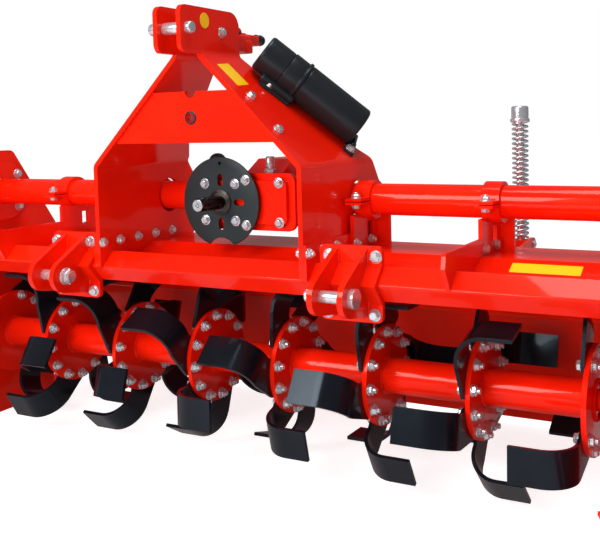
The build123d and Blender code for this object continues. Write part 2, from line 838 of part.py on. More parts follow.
# Trailing board, hanging at rest on its rods, with a pin through its hinges and an eye pin per rod.
board_half = frame_half - board_end_gap
hinge_places = (-board_half + hinge_end_gap, 0, board_half - hinge_end_gap)
hinge_place = (board_hinge_behind, board_hinge_above)
eye_place = on_board(eye_along, eye_out)
ear_inside = eye_thick / 2 + board_ear_gap
with BuildPart() as board:
    with BuildSketch(side_plane(-board_half)):
        with BuildLine():
            Polyline(
                on_board(0, 0),
                on_board(0, sheet_thick),
                on_board(board_long - sheet_thick, sheet_thick),
                on_board(board_long - sheet_thick, board_lip),
                on_board(board_long, board_lip),
                on_board(board_long, 0),
                close=True,
            )
        make_face()
    extrude(amount=2 * board_half)
    for x in hinge_places:
        with BuildSketch(side_plane(x - hinge_thick / 2 - hinge_room)):
            with Locations(hinge_place):
                Circle(hinge_eye_radius + hinge_room)
        extrude(amount=hinge_thick + 2 * hinge_room, mode=Mode.SUBTRACT)
    with BuildSketch(side_plane(-board_half)):
        with Locations(hinge_place):
            Circle(board_pin_radius)
    extrude(amount=2 * board_half)
    for side in (-1, 1):
        for ear_side in (-1, 1):
            with BuildSketch(side_plane(side * rod_half + ear_side * ear_inside)):
                with BuildLine():
                    Polyline(
                        on_board(eye_along - 2 * board_ear_half_long, sheet_thick),
                        on_board(eye_along - board_ear_half_long, eye_out + board_ear_half_long),
                        on_board(eye_along + board_ear_half_long, eye_out + board_ear_half_long),
                        on_board(eye_along + 2 * board_ear_half_long, sheet_thick),
                        close=True,
                    )
                make_face()
            extrude(amount=ear_side * ear_thick)
        with BuildSketch(side_plane(side * rod_half - ear_inside - ear_thick)):
            with Locations(eye_place):
                Circle(eye_pin_radius)
        extrude(amount=2 * (ear_inside + ear_thick))
save(board, "trailing_board")

with BuildPart() as hinge_brackets:
    for x in hinge_places:
        with BuildSketch(side_plane(x - hinge_thick / 2)):
            with Locations(hinge_place):
                Circle(hinge_eye_radius)
            with BuildLine():
                Line(on_roll(hinge_root[0]), on_roll(hinge_root[1]))
            make_hull()
            with Locations(roll_middle):
                Circle(hood_roll, mode=Mode.SUBTRACT)
            with Locations(hinge_place):
                Circle(board_pin_radius + guide_clear, mode=Mode.SUBTRACT)
        extrude(amount=hinge_thick)
save(hinge_brackets, "board_hinges")

# Each spring rod slides in a block that swivels between two ears on the hood's roll.
guide_place = (eye_place[0], guide_above)
rod_ear_inside = guide_wide / 2 + rod_ear_gap
with BuildPart() as rod_brackets:
    for side in (-1, 1):
        for ear_side in (-1, 1):
            with BuildSketch(side_plane(side * rod_half + ear_side * rod_ear_inside)):
                with Locations(guide_place):
                    Circle(eye_radius)
                with BuildLine():
                    Line(on_roll(rod_ear_root[0]), on_roll(rod_ear_root[1]))
                make_hull()
                with Locations(roll_middle):
                    Circle(hood_roll, mode=Mode.SUBTRACT)
                with Locations(guide_place):
                    Circle(guide_pin_radius + pivot_clear, mode=Mode.SUBTRACT)
            extrude(amount=ear_side * ear_thick)
save(rod_brackets, "rod_brackets")

with BuildPart() as rod_guides:
    for side in (-1, 1):
        with BuildSketch(level_plane(guide_above - guide_half_tall)):
            with Locations((side * rod_half, guide_place[0])):
                Rectangle(guide_wide, guide_deep)
                Circle(rod_radius + guide_clear, mode=Mode.SUBTRACT)
        extrude(amount=2 * guide_half_tall)
        for pin_side in (-1, 1):
            with BuildSketch(side_plane(side * rod_half + pin_side * guide_wide / 2)):
                with Locations(guide_place):
                    Circle(guide_pin_radius)
            extrude(amount=pin_side * (rod_ear_gap + ear_thick))
save(rod_guides, "rod_guides")

rod_foot_above = eye_place[1] + math.sqrt(eye_radius ** 2 - rod_radius ** 2)
cap_low = rod_top_above - rod_cap_tall
with BuildPart() as spring_rods:
    for side in (-1, 1):
        with BuildSketch(level_plane(rod_foot_above)):
            with Locations((side * rod_half, eye_place[0])):
                Circle(rod_radius)
        extrude(amount=cap_low - rod_foot_above)
        with BuildSketch(side_plane(side * rod_half - eye_thick / 2)):
            with Locations(eye_place):
                Circle(eye_radius)
                Circle(eye_hole, mode=Mode.SUBTRACT)
        extrude(amount=eye_thick)
        with BuildSketch(level_plane(cap_low)):
            with Locations((side * rod_half, eye_place[0])):
                Circle(rod_cap_radius)
        extrude(amount=rod_cap_tall)
        with BuildSketch(level_plane(cap_low)):
            with Locations((side * rod_half, eye_place[0])):
                Circle(spring_radius + spring_wire / 2)
        extrude(amount=-collar_tall)
    chamfer(spring_rods.edges().group_by(Axis.Z)[-1], rod_cap_chamfer)
save(spring_rods, "spring_rods")

with BuildPart() as springs:
    for side in (-1, 1):
        with BuildSketch(level_plane(guide_above + guide_half_tall + guide_clear)):
            with Locations((side * rod_half, eye_place[0])):
                Circle(spring_radius)
                Circle(spring_radius - spring_wire, mode=Mode.SUBTRACT)
        extrude(amount=cap_low - collar_tall - guide_above - guide_half_tall - guide_clear)
save(springs, "springs")

# Document canister. The plane lies on the outer face of the right mast plate's leaning part: local X
# runs down the canister's axis and local Y backwards.
tilt = math.radians(canister_tilt)
slope_down = Vector(math.sin(lean), 0, -math.cos(lean))
slope_normal = Vector(math.cos(lean), 0, math.sin(lean))
canister_dir = slope_down * math.cos(tilt) + Vector(0, math.sin(tilt), 0)
high_fold = Vector(middle_x + mast_top_half, middle_y + canister_behind, rotor_z + mast_high_bend)
canister_plane = Plane(
    origin=high_fold + slope_down * canister_down,
    x_dir=canister_dir,
    z_dir=slope_normal,
)
axis_off = canister_off + canister_radius
canister_top = Plane(
    origin=canister_plane.origin + slope_normal * axis_off - canister_dir * (canister_long / 2),
    x_dir=slope_normal,
    z_dir=canister_dir,
)
canister_table = (  # start, end, radius
    (0, canister_cap_long, canister_cap_radius),
    (canister_cap_long, canister_neck_long, canister_neck_radius),
    (canister_neck_long, canister_neck_long + canister_ring_long, canister_ring_radius),
    (canister_neck_long + canister_ring_long, canister_long, canister_radius),
)
lug_places = (
    (canister_lug_down - canister_lug_spread / 2, 0),
    (canister_lug_down + canister_lug_spread / 2, 0),
)
with BuildPart() as canister:
    for start, end, radius in canister_table:
        with BuildSketch(canister_top.offset(start)):
            Circle(radius)
        extrude(amount=end - start)
    with BuildSketch(canister_plane):
        with Locations(*lug_places):
            Rectangle(canister_lug_wide, canister_lug_reach, align=(Align.CENTER, Align.MAX))
    extrude(amount=canister_lug_thick)
    with BuildSketch(canister_plane):
        with Locations(*lug_places):
            Rectangle(canister_lug_wide, canister_neck_radius)
    extrude(amount=axis_off)
save(canister, "canister")
print("footprint middle", middle_x, middle_y, "rotor height", rotor_z)
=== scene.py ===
import json
import math
import bpy
from mathutils import Matrix, Vector


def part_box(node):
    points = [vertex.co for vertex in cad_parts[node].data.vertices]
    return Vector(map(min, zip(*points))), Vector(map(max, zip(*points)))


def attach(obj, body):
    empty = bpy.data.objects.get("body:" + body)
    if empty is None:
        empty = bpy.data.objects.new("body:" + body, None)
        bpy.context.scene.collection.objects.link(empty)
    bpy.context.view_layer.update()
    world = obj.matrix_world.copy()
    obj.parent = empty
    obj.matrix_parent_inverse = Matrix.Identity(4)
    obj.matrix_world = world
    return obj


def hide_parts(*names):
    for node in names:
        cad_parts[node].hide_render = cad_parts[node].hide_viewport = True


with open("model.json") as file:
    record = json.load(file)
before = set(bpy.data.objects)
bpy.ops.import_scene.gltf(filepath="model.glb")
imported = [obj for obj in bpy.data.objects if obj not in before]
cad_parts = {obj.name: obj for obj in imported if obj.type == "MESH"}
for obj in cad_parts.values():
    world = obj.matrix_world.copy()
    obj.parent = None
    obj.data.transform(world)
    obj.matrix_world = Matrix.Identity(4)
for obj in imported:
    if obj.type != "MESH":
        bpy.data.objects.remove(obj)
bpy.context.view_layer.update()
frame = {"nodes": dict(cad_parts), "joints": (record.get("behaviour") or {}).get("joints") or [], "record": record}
bpy.ops.object.select_all(action="DESELECT")
nodes = frame["nodes"]
rotorSpin = next(j for j in frame["joints"] if j["name"] == "rotor_spin")
rotorAxis = Vector(rotorSpin["pos_m"])  # every place below is measured from here, in millimetres
mm = 0.001
right, left = (1, 0, 0), (-1, 0, 0)
front, back = (0, -1, 0), (0, 1, 0)
up, down = (0, 0, 1), (0, 0, -1)


def place(x, y, z):
    return rotorAxis + Vector((x, y, z)) * mm


# Shader helpers: a socket that takes part in plain sums, and the tree that it lives in.
class Wire:
    def __init__(self, tree, socket):
        self.tree = tree
        self.socket = socket

    def maths(self, operation, other, swapped=False):
        node = self.tree.nodes.new("ShaderNodeMath")
        node.operation = operation
        terms = (other, self) if swapped else (self, other)
        for slot, term in zip(node.inputs, terms):
            if isinstance(term, Wire):
                self.tree.links.new(term.socket, slot)
            else:
                slot.default_value = term
        return Wire(self.tree, node.outputs[0])

    def __add__(self, other):
        return self.maths("ADD", other)

    def __sub__(self, other):
        return self.maths("SUBTRACT", other)

    def __mul__(self, other):
        return self.maths("MULTIPLY", other)

    def __radd__(self, other):
        return self.maths("ADD", other, True)

    def __rsub__(self, other):
        return self.maths("SUBTRACT", other, True)

    def __rmul__(self, other):
        return self.maths("MULTIPLY", other, True)


class Graph:
    def __init__(self, tree):
        self.tree = tree
        self.tree.nodes.clear()

    def node(self, kind, settings=None, values=None):
        made = self.tree.nodes.new(kind)
        for name, value in (settings or {}).items():
            if name == "stops":
                ramp = made.color_ramp.elements
                for index, (position, shade) in enumerate(value):
                    stop = ramp[index] if index < 2 else ramp.new(position)
                    stop.position = position
                    stop.color = (shade, shade, shade, 1)
            else:
                setattr(made, name, value)
        for name, value in (values or {}).items():
            if isinstance(value, Wire):
                self.tree.links.new(value.socket, made.inputs[name])
            else:
                made.inputs[name].default_value = value
        wires = {}
        for socket in made.outputs:
            if socket.enabled:
                wires[socket.name] = Wire(self.tree, socket)
        return wires

    def seen(self, mirrored):
        # how much the background shows, straight on or mirrored in paint and metal
        path = self.node("ShaderNodeLightPath")
        direct = path["Is Camera Ray"] + path["Is Transmission Ray"]
        return direct.maths("MAXIMUM", path["Is Glossy Ray"] * mirrored)


class Finish(Graph):  # one material
    def __init__(self, name):
        self.material = bpy.data.materials.new(name)
        self.material.use_nodes = True
        super().__init__(self.material.node_tree)
        self.place = self.node("ShaderNodeTexCoord")["Object"]

    def noise(self, scale, detail=2.0, roughness=0.5):
        return self.node("ShaderNodeTexNoise", None, {
            "Vector": self.place, "Scale": scale, "Detail": detail, "Roughness": roughness})["Fac"]

    def ramp(self, wire, stops):
        return self.node("ShaderNodeValToRGB", {"stops": stops}, {"Fac": wire})["Color"]

    def mix(self, factor, first, second):
        return self.node("ShaderNodeMix", {"data_type": "RGBA"}, {
            0: factor, 6: first, 7: second})["Result"]

    def softEdge(self, radius):
        return self.node("ShaderNodeBevel", {"samples": 4}, {"Radius": radius})["Normal"]

    def bump(self, height, strength, distance, over):
        return self.node("ShaderNodeBump", None, {
            "Height": height, "Strength": strength, "Distance": distance, "Normal": over})["Normal"]

    def surface(self, values):
        shader = self.node("ShaderNodeBsdfPrincipled", None, values)["BSDF"]
        self.node("ShaderNodeOutputMaterial", None, {"Surface": shader})
        return self.material


def painted(name, look):
    f = Finish(name)
    cloudy = f.ramp(f.noise(7.0, 3.0), [(0.35, 0.0), (0.70, 1.0)])
    peel = f.noise(480.0, 2.0, 0.6)  # the skin of sprayed paint
    flow = f.noise(38.0, 2.0)
    return f.surface({
        "Base Color": f.mix(cloudy, look["colour"], look["deeper"]),
        "Roughness": look["rough"] + 0.06 * flow,
        "Specular IOR Level": look["shine"],
        "Specular Tint": look["tint"],
        "Coat Weight": look["coat"],
        "Coat Roughness": look["coatRough"],
        "Normal": f.bump(peel * 0.55 + flow * 0.45, look["peel"], 0.0006, f.softEdge(look["edge"])),
    })


def plated(name, look):
    f = Finish(name)
    mottled = f.ramp(f.noise(160.0, 3.0), [(0.30, 0.0), (0.75, 1.0)])
    stained = f.ramp(f.noise(38.0, 4.0, 0.65), [(0.52, 0.0), (0.74, 1.0)])
    body = f.mix(mottled, look["colour"], look["deeper"])
    return f.surface({
        "Base Color": f.mix(stained * look["stain"], body, look["stainColour"]),
        "Metallic": look["metal"],
        "Roughness": look["rough"] + 0.14 * f.noise(320.0) + 0.10 * stained,
        "Normal": f.bump(f.noise(700.0), 0.08, 0.0003, f.softEdge(look["edge"])),
    })


# Looks. "colour" and "deeper" drift into each other over the surface, and "edge" is how far, in
# metres, the shading rounds a sharp edge.
redPaint = {
    "colour": (0.82, 0.012, 0.0015, 1), "deeper": (0.76, 0.008, 0.001, 1),
    "rough": 0.20, "shine": 0.10, "tint": (1.0, 0.72, 0.40, 1), "coat": 0.32,
    "coatRough": 0.035, "peel": 0.03, "edge": 0.0022}
tinePaint = {
    "colour": (0.0035, 0.004, 0.006, 1), "deeper": (0.007, 0.008, 0.012, 1),
    "rough": 0.17, "shine": 0.26, "tint": (0.62, 0.82, 1.0, 1), "coat": 0.10,
    "coatRough": 0.05, "peel": 0.08, "edge": 0.0012}
guardPaint = {
    "colour": (0.011, 0.014, 0.015, 1), "deeper": (0.016, 0.020, 0.022, 1),
    "rough": 0.38, "shine": 0.36, "tint": (0.85, 0.95, 1.0, 1), "coat": 0.0,
    "coatRough": 0.2, "peel": 0.10, "edge": 0.0010}
blackMoulding = {
    "colour": (0.008, 0.009, 0.010, 1), "deeper": (0.012, 0.013, 0.015, 1),
    "rough": 0.30, "shine": 0.34, "tint": (0.75, 0.90, 1.0, 1), "coat": 0.0,
    "coatRough": 0.2, "peel": 0.14, "edge": 0.0015}
yellowFilm = {
    "colour": (0.94, 0.55, 0.004, 1), "deeper": (0.90, 0.51, 0.003, 1), "rough": 0.30,
    "shine": 0.30, "tint": (1.0, 0.9, 0.6, 1), "coat": 0.1, "coatRough": 0.1,
    "peel": 0.02, "edge": 0.0004}
zincPlate = {
    "colour": (0.80, 0.82, 0.86, 1), "deeper": (0.64, 0.66, 0.70, 1), "rough": 0.17,
    "metal": 0.82, "stain": 0.30, "stainColour": (0.30, 0.30, 0.30, 1), "edge": 0.0010}
oiledSteel = {
    "colour": (0.085, 0.070, 0.062, 1), "deeper": (0.050, 0.040, 0.036, 1),
    "rough": 0.30, "metal": 1.0, "stain": 0.60,
    "stainColour": (0.035, 0.022, 0.016, 1), "edge": 0.0006}
finishes = {
    "red_paint": painted("redPaint", redPaint),
    "tine_black": painted("tineBlack", tinePaint),
    "guard_grey": painted("guardGrey", guardPaint),
    "black_plastic": painted("blackMoulding", blackMoulding),
    "zinc": plated("zincPlate", zincPlate),
    "dark_steel": plated("oiledSteel", oiledSteel),
}
yellow = painted("yellowFilm", yellowFilm)
for entry in frame["record"]["subparts"]:
    mesh = nodes[entry["node"]].data
    mesh.materials.clear()
    mesh.materials.append(finishes[entry["material_slot"]])
print("finishes on", len(nodes), "nodes")


# Modelling helpers. Sizes are given in millimetres. A piece is made at the origin, standing on
# z = 0, and is then set on the machine.
bpy.context.tool_settings.mesh_select_mode = (False, False, True)


def pickFaces(piece, test):
    bpy.ops.object.mode_set(mode="OBJECT")
    for item in (*piece.data.vertices, *piece.data.edges):
        item.select = False
    for face in piece.data.polygons:
        face.select = test(face)
    bpy.ops.object.mode_set(mode="EDIT")


def standing(sides, radius, low, high, edge, segments=1, both=False):
    bpy.ops.mesh.primitive_cylinder_add(vertices=sides, radius=radius * mm, depth=(high - low) * mm,
                                        location=(0, 0, (low + high) / 2 * mm))
    piece = bpy.context.object
    bpy.ops.object.transform_apply(location=True, rotation=False, scale=False)
    pickFaces(piece, lambda face: face.normal.z > 0.9 or both and face.normal.z < -0.9)
    bpy.ops.mesh.bevel(offset=edge * mm, segments=segments, affect="EDGES")
    bpy.ops.object.mode_set(mode="OBJECT")
    return piece


def shifted(piece, x, y, z):  # moves a piece's mesh, in millimetres
    piece.data.transform(Matrix.Translation(Vector((x, y, z)) * mm))
    return piece


def block(size, middle, edge, segments=2):
    bpy.ops.mesh.primitive_cube_add(
        size=1, location=[c * mm for c in middle], scale=[s * mm for s in size])
    piece = bpy.context.object
    bpy.ops.object.transform_apply(location=True, rotation=False, scale=True)
    bpy.ops.object.mode_set(mode="EDIT")
    bpy.ops.mesh.select_all(action="SELECT")
    bpy.ops.mesh.bevel(offset=edge * mm, segments=segments, affect="EDGES")
    bpy.ops.object.mode_set(mode="OBJECT")
    return piece


def joined(pieces):
    bpy.ops.object.select_all(action="DESELECT")
    for piece in pieces:
        piece.select_set(True)
    bpy.context.view_layer.objects.active = pieces[0]
    if len(pieces) > 1:
        bpy.ops.object.join()
    return pieces[0]


def dressed(piece, name, slot, body="root", smooth=35):
    piece.name = name
    piece.data.name = name
    piece.data.materials.clear()
    piece.data.materials.append(finishes[slot])
    joined([piece])
    bpy.ops.object.shade_smooth_by_angle(angle=math.radians(smooth))
    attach(piece, body)
    return piece


def copied(pattern):
    copy = pattern.copy()
    copy.data = pattern.data.copy()
    bpy.context.collection.objects.link(copy)
    return copy


def spread(pattern, spots):
    # Copies of a pattern, one at each spot, as one piece. Each points the way that its spot gives,
    # and is turned a little further than the last, as a spanner leaves it.
    copies = []
    for index, (spot, facing) in enumerate(spots):
        copy = copied(pattern)
        aim = Vector(facing).to_track_quat("Z", "Y").to_matrix().to_4x4()
        turn = Matrix.Rotation(math.radians(index * 23 % 60), 4, "Z")
        copy.data.transform(Matrix.Translation(place(*spot)) @ aim @ turn)
        copies.append(copy)
    return joined(copies)


def dropPattern(pattern):
    bpy.data.objects.remove(pattern, do_unlink=True)


def ringSpots(x, y, z, radius, firstAngle, count, facing):
    # spots evenly round a ring that lies across the rotor's axis
    spots = []
    for n in range(count):
        a = math.radians(firstAngle + n * 360 / count)
        spots.append(((x, y + radius * math.cos(a), z + radius * math.sin(a)), facing))
    return spots


# Fasteners. Each size gives the width across the flats, the head's height, and the washer.
fastenerSizes = {
    "small": {"across": 19, "tall": 8, "washer": 13.5, "washerThick": 2.2, "tail": 5, "shank": 6},
    "middle": {"across": 22, "tall": 10, "washer": 15, "washerThick": 2.5, "tail": 8, "shank": 7},
    "large": {"across": 28, "tall": 14, "washer": 20, "washerThick": 3.0, "tail": 9, "shank": 9},
}


def hexHead(size):
    corner = size["across"] / 2 / math.cos(math.pi / 6)
    top = size["washerThick"] + size["tall"]
    washer = standing(20, size["washer"], 0, size["washerThick"], 0.6)
    head = standing(6, corner, size["washerThick"], top, 0.10 * size["across"])
    boss = standing(16, 0.40 * size["across"], top - 0.5, top + 0.6, 0.5)
    return joined([washer, head, boss])


def hexNut(size):
    top = size["washerThick"] + size["tall"]
    head = hexHead(size)
    shank = standing(12, size["shank"], top - 1, top + size["tail"], 1.2)
    return joined([head, shank])


patterns = {}
for sizeName, size in fastenerSizes.items():
    patterns["head", sizeName] = hexHead(size)
    patterns["nut", sizeName] = hexNut(size)

# Rotor bolts: two through each tine, with the nut on the flange's right and the head on the tine.
rotorBolts = {
    "firstTip": 108.5, "flangeTurn": 15, "tinesPerFlange": 6, "boltSpread": 30, "ring": 111.5,
    "flanges": 8, "pitch": 260, "firstFlange": -910, "halfFlange": 6, "tineThick": 9}
nutSpots, headSpots = [], []
for i in range(rotorBolts["flanges"]):
    x = rotorBolts["firstFlange"] + i * rotorBolts["pitch"]
    for k in range(rotorBolts["tinesPerFlange"]):
        if (i, k % 2) in ((0, 0), (rotorBolts["flanges"] - 1, 1)):
            continue  # the end flanges carry only the tines that bend inwards
        tip = (rotorBolts["firstTip"] + i * rotorBolts["flangeTurn"]
               + k * 360 / rotorBolts["tinesPerFlange"])
        for angle in (tip, tip + rotorBolts["boltSpread"]):
            y = rotorBolts["ring"] * math.cos(math.radians(angle))
            z = rotorBolts["ring"] * math.sin(math.radians(angle))
            nutSpots.append(((x + rotorBolts["halfFlange"], y, z), right))
            headSpots.append(((x - rotorBolts["halfFlange"] - rotorBolts["tineThick"], y, z), left))
dressed(spread(patterns["nut", "middle"], nutSpots), "rotorNuts", "zinc", "rotor")
dressed(spread(patterns["head", "middle"], headSpots), "rotorBoltHeads", "zinc", "rotor")
print("rotor bolts", len(nutSpots))

# Bolts on the frame: (piece, pattern, size, spots on both sides, spots on one side). A spot that
# stands on both sides is given for the right one and is mirrored.
crossTube = {"back": 30, "high": 442, "flangeRing": 75, "flangeFace": 964}
flangeRing = [(y, z) for (x, y, z), facing in ringSpots(
    0, crossTube["back"], crossTube["high"], crossTube["flangeRing"], 45, 4, right)]
boltTable = (
    ("footNuts", "nut", "small",
     [((317, y, 340), right) for y in (-250, -186, -114)]
     + [((327, y, 335), right) for y in (-28, 58)], []),
    ("footHeads", "head", "small",
     [((297, y, 340), left) for y in (-250, -186, -114, -42, 31)], []),
    ("legHeads", "head", "small",
     [((661, y, 335), right) for y in (-20, 66)]
     + [((345, 115, 385), back), ((683, 115, 385), back)], []),
    ("earNuts", "nut", "small", [((x, -47, 450), up) for x in (339, 673)], []),
    ("earHeads", "head", "small", [((x, -47, 434), down) for x in (339, 673)], []),
    ("hitchBolts", "head", "middle", [((x, -229, z), front) for x, z in (
        (360, 337), (477, 337), (353, 206), (472, 206))], []),
    ("tubeFlangeBolts", "head", "middle",
     [((crossTube["flangeFace"], y, z), left) for y, z in flangeRing], []),
    ("endPlateNuts", "nut", "middle", [], [((986, y, z), right) for y, z in flangeRing]),
    ("skidBolts", "head", "middle", [((994, y, -152), right) for y in (-110, 0, 110, 200)], []),
)
for name, kind, sizeName, pairs, singles in boltTable:
    spots = list(singles)
    for (x, y, z), facing in pairs:
        spots.append(((x, y, z), facing))
        spots.append(((-x, y, z), (-facing[0], facing[1], facing[2])))
    dressed(spread(patterns[kind, sizeName], spots), name, "zinc")
print("frame bolts")

# Mast: the pin's ends and sleeve, the rear link's bolt, and the bolts of the canister's bracket.
mastBolts = {
    "face": 40, "pinRadius": 14.4, "pinHead": 15, "pinTail": 27, "pinPlace": (-308, 867),
    "sleeveHalf": 27, "linkBolt": (-172.5, 866), "leanSpots": ((145, -209, 705), (226, -221, 624))}
dressed(spread(patterns["head", "small"], [
    ((mastBolts["face"], *mastBolts["linkBolt"]), right),
    ((-mastBolts["face"], *mastBolts["linkBolt"]), left),
]), "blockBolts", "zinc")
pinEnds = []
for long, side in ((mastBolts["pinHead"], 1), (mastBolts["pinTail"], -1)):
    pinEnd = standing(36, mastBolts["pinRadius"], 0, long, 4.5, 5)
    pinEnds.append(spread(pinEnd, [
        ((side * mastBolts["face"], *mastBolts["pinPlace"]), (side, 0, 0))]))
    dropPattern(pinEnd)
dressed(joined(pinEnds), "topPinEnds", "zinc")
pinSleeve = standing(40, mastBolts["pinRadius"], -mastBolts["sleeveHalf"], mastBolts["sleeveHalf"],
                     0.8, 2, True)
dressed(spread(pinSleeve, [((0, *mastBolts["pinPlace"]), right)]), "topPinSleeve", "zinc")
dropPattern(pinSleeve)
leanOut = (math.sqrt(0.5), 0, math.sqrt(0.5))  # square to the mast's leaning part
leanSpots = [(spot, leanOut) for spot in mastBolts["leanSpots"]]
dressed(spread(patterns["head", "small"], leanSpots), "leanBolts", "zinc")

# Rear link between the heads: a forged block with an ear on top, an arm, and a rubber grip behind.
# A black cylinder through the ear is painted shade: it stands for the dark inside the ear's hole.
rearLink = {
    "ear": (-56, 877), "earRadius": 13, "earHalf": 15, "pin": 4, "holeShadeProud": 3,
    "grip": 13.5, "gripBack": 36, "gripLong": 38, "gripHigh": 866,
    "gripRings": (6, 26), "ringWide": 4, "ringProud": 1.5}
linkTable = (  # size, middle, rounding and its steps
    ((44, 130, 46), (0, -73, 849), 6, 3),
    ((34, 64, 28), (0, 6, 862), 5, 3),
    ((50, 30, 34), (0, -22, 842), 5, 3),
    ((12, 60, 16), (0, -38, 872), 3, 2),
)
sidewise = Matrix.Rotation(math.pi / 2, 4, "Y")
linkParts = [block(*row) for row in linkTable]
ear = standing(40, rearLink["earRadius"], -rearLink["earHalf"], rearLink["earHalf"], 2.5, 3, True)
ear.data.transform(Matrix.Translation(Vector((0, *rearLink["ear"])) * mm) @ sidewise)
linkPiece = joined(linkParts + [ear])
linkPiece.data.transform(Matrix.Translation(place(0, 0, 0)))
dressed(linkPiece, "rearLink", "red_paint")
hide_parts("mast_rear_block")
# painted shade: a black cylinder through the ear, standing out a little from both faces, stands for the dark of
# its hole
holeShadeHalf = rearLink["earHalf"] + rearLink["holeShadeProud"]
earHoleShade = standing(24, rearLink["pin"], -holeShadeHalf, holeShadeHalf, 1.2, 2, True)
dressed(spread(earHoleShade, [((0, *rearLink["ear"]), right)]), "rearLinkHoleShade", "black_plastic")
gripParts = [standing(40, rearLink["grip"], 0, rearLink["gripLong"], 4, 4, True)]
for low in rearLink["gripRings"]:
    gripParts.append(standing(40, rearLink["grip"] + rearLink["ringProud"],
                              low, low + rearLink["ringWide"], 1.2, 2, True))
grip = joined(gripParts)
dressed(spread(grip, [((0, rearLink["gripBack"], rearLink["gripHigh"]), back)]),
        "rearLinkGrip", "black_plastic")
dropPattern(earHoleShade)
dropPattern(grip)

# Rubber ring round the hole of the cross plate.
holeRing = {"outer": 16.8, "wide": 3.9, "proud": 1.6, "spot": (0, -254, 657)}
ring = standing(48, holeRing["outer"], 0, holeRing["proud"], 0.5, 2)
pickFaces(ring, lambda face: abs(face.normal.z) > 0.9 and len(face.vertices) > 8)
bpy.ops.mesh.inset(thickness=holeRing["wide"] * mm)
bpy.ops.mesh.bridge_edge_loops()
bpy.ops.object.mode_set(mode="OBJECT")
dressed(spread(ring, [(holeRing["spot"], front)]), "holeRing", "black_plastic")
dropPattern(ring)

# Lower pins: a washer, a nut and the pin's own end, on the inner side.
lowerPin = {"washer": 22, "washerThick": 3, "nut": 21, "nutTop": 17, "pin": 13.8, "pinTop": 21,
            "inner": 368.5, "front": -315, "high": 258}
pinNut = joined([
    standing(28, lowerPin["washer"], 0, lowerPin["washerThick"], 0.8),
    standing(6, lowerPin["nut"], lowerPin["washerThick"], lowerPin["nutTop"], 2.6),
    standing(20, lowerPin["pin"], lowerPin["nutTop"] - 1, lowerPin["pinTop"], 1.6),
])
dressed(spread(pinNut, [
    ((-lowerPin["inner"], lowerPin["front"], lowerPin["high"]), right),
    ((lowerPin["inner"], lowerPin["front"], lowerPin["high"]), left),
]), "pinNuts", "zinc")
dropPattern(pinNut)
print("mast and pin ends")

# Gearbox: cover bolts, the guard's bolts, the side flange's bolts, breather and plugs.
gearbox = {
    "middle": 442, "coverFace": -125, "guardFace": -142, "topFace": 507, "shaft": -239,
    "coverAcross": (-70, 165), "coverHigh": (392, 492), "sideFace": 217, "sideRing": 91,
    "guardBolts": ((-46, 47), (46, 47), (-46, -47), (46, -47), (78, 57), (78, -57)),
    "breather": (116, -84)}
coverBolts = [((x, gearbox["coverFace"], z), front)
              for x in gearbox["coverAcross"] for z in gearbox["coverHigh"]]
guardBolts = [((x, gearbox["guardFace"], gearbox["middle"] + z), front)
              for x, z in gearbox["guardBolts"]]
dressed(spread(patterns["head", "small"], coverBolts + guardBolts), "gearboxBolts", "zinc")
sideFlangeBolts = ringSpots(gearbox["sideFace"], crossTube["back"], crossTube["high"],
                            gearbox["sideRing"], 30, 6, left)
dressed(spread(patterns["head", "small"], sideFlangeBolts), "sideFlangeBolts", "zinc")
breather = joined([
    standing(6, 15, 0, 18, 2.2),  # hexagon
    standing(24, 8, 18, 24, 0.5),  # neck
    standing(28, 11.5, 23, 49, 2.4, 2),  # cap
])
dressed(spread(breather, [((*gearbox["breather"], gearbox["topFace"]), up)]), "breather", "zinc")
dropPattern(breather)
gearCase = {"face": -1046, "lowRing": 94, "highRing": 69, "edgeShares": (0.33, 0.67)}
plug = joined([standing(24, 17, 0, 3, 0.8), standing(6, 13, 3, 12, 2.2)])
dressed(spread(plug, [
    ((0, 140, 470), back), ((95, 140, 400), back), ((150, 140, 480), back),
    ((gearCase["face"], 20, -60), left), ((gearCase["face"], 30, 250), left),
]), "oilPlugs", "zinc")
dropPattern(plug)


def stepped(piece, steps):
    # works inwards over the top face: leaves a rim, then raises or sinks what is inside it
    pickFaces(piece, lambda face: face.normal.z > 0.9)
    for rim, rise in steps:
        bpy.ops.mesh.inset(thickness=rim * mm)
        bpy.ops.mesh.extrude_region_move(TRANSFORM_OT_translate={"value": (0, 0, rise * mm)})
    bpy.ops.object.mode_set(mode="OBJECT")


# Drive shaft: the seal's ring round it, and the turned end with its centre hole.
shaft = {"ring": 31, "ringTall": 6, "ringSteps": ((4, -2.5), (6.2, 1.5)),
         "end": 14.6, "endTall": 0.8, "endProud": 0.2, "endSteps": ((8.6, -0.6),)}
collar = standing(48, shaft["ring"], 0, shaft["ringTall"], 1.2, 2)
stepped(collar, shaft["ringSteps"])
dressed(spread(collar, [((0, gearbox["guardFace"], gearbox["middle"]), front)]),
        "sealRing", "dark_steel")
dropPattern(collar)
shaftEnd = standing(40, shaft["end"], 0, shaft["endTall"], 0.5)
stepped(shaftEnd, shaft["endSteps"])
dressed(spread(shaftEnd, [
    ((0, gearbox["shaft"] + shaft["endProud"], gearbox["middle"]), front)]),
    "shaftEnd", "zinc", "input_shaft")
dropPattern(shaftEnd)
print("gearbox details")

# Drive shaft guard: a disc with four slots that point at the middle, a notch below and a small hole
# above, on four posts.
guard = {
    "face": -137, "radius": 115, "thick": 5, "hole": 32, "ring": 56, "slotLong": 31, "slotWide": 15,
    "notch": 48, "notchBelow": 139, "eye": 4.5, "eyeAbove": 99, "post": 9, "postRing": 66,
    "postLong": 12, "cutLow": -5, "cutHigh": 10}


def drill(sides, radius, x, y):
    return shifted(standing(sides, radius, guard["cutLow"], guard["cutHigh"], 0.1), x, y, 0)


